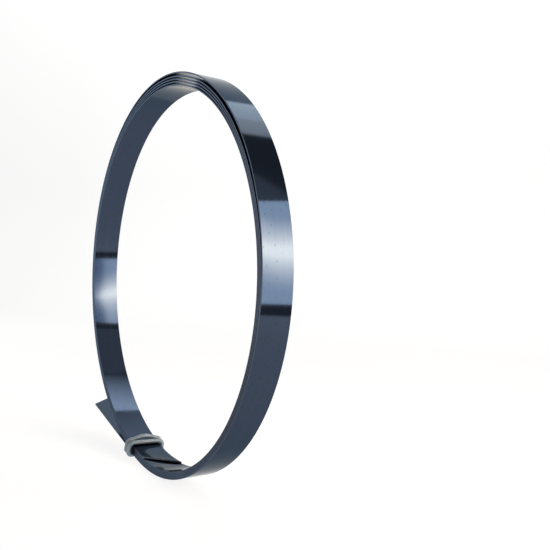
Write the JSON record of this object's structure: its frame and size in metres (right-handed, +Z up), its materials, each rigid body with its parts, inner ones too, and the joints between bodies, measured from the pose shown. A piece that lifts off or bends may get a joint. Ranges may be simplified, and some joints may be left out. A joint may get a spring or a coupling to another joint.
{
  "type": "carbon steel strip coil",
  "caption": "Coil of blue-tempered carbon steel strip standing on its rim, wound in loose turns with two free ends and tied near the bottom with galvanised wire.",
  "frame": {"origin": "lowest point of the coil's rim, halfway across the strip's width, on the floor", "axes": "+Z up, +Y along the coil's axis from the near end to the far end, +X to the right, so that the straight outer end points to -X"},
  "size_m": [0.2194, 0.0224, 0.22],
  "materials": {
    "blued_steel": "blue-tempered and polished, with fine rolling lines along the strip",
    "galvanised_wire": "dull zinc coat"
  },
  "bodies": {
    "root": {"strip_coil": "blued_steel", "wire_tie": "galvanised_wire"}
  },
  "joints": []
}
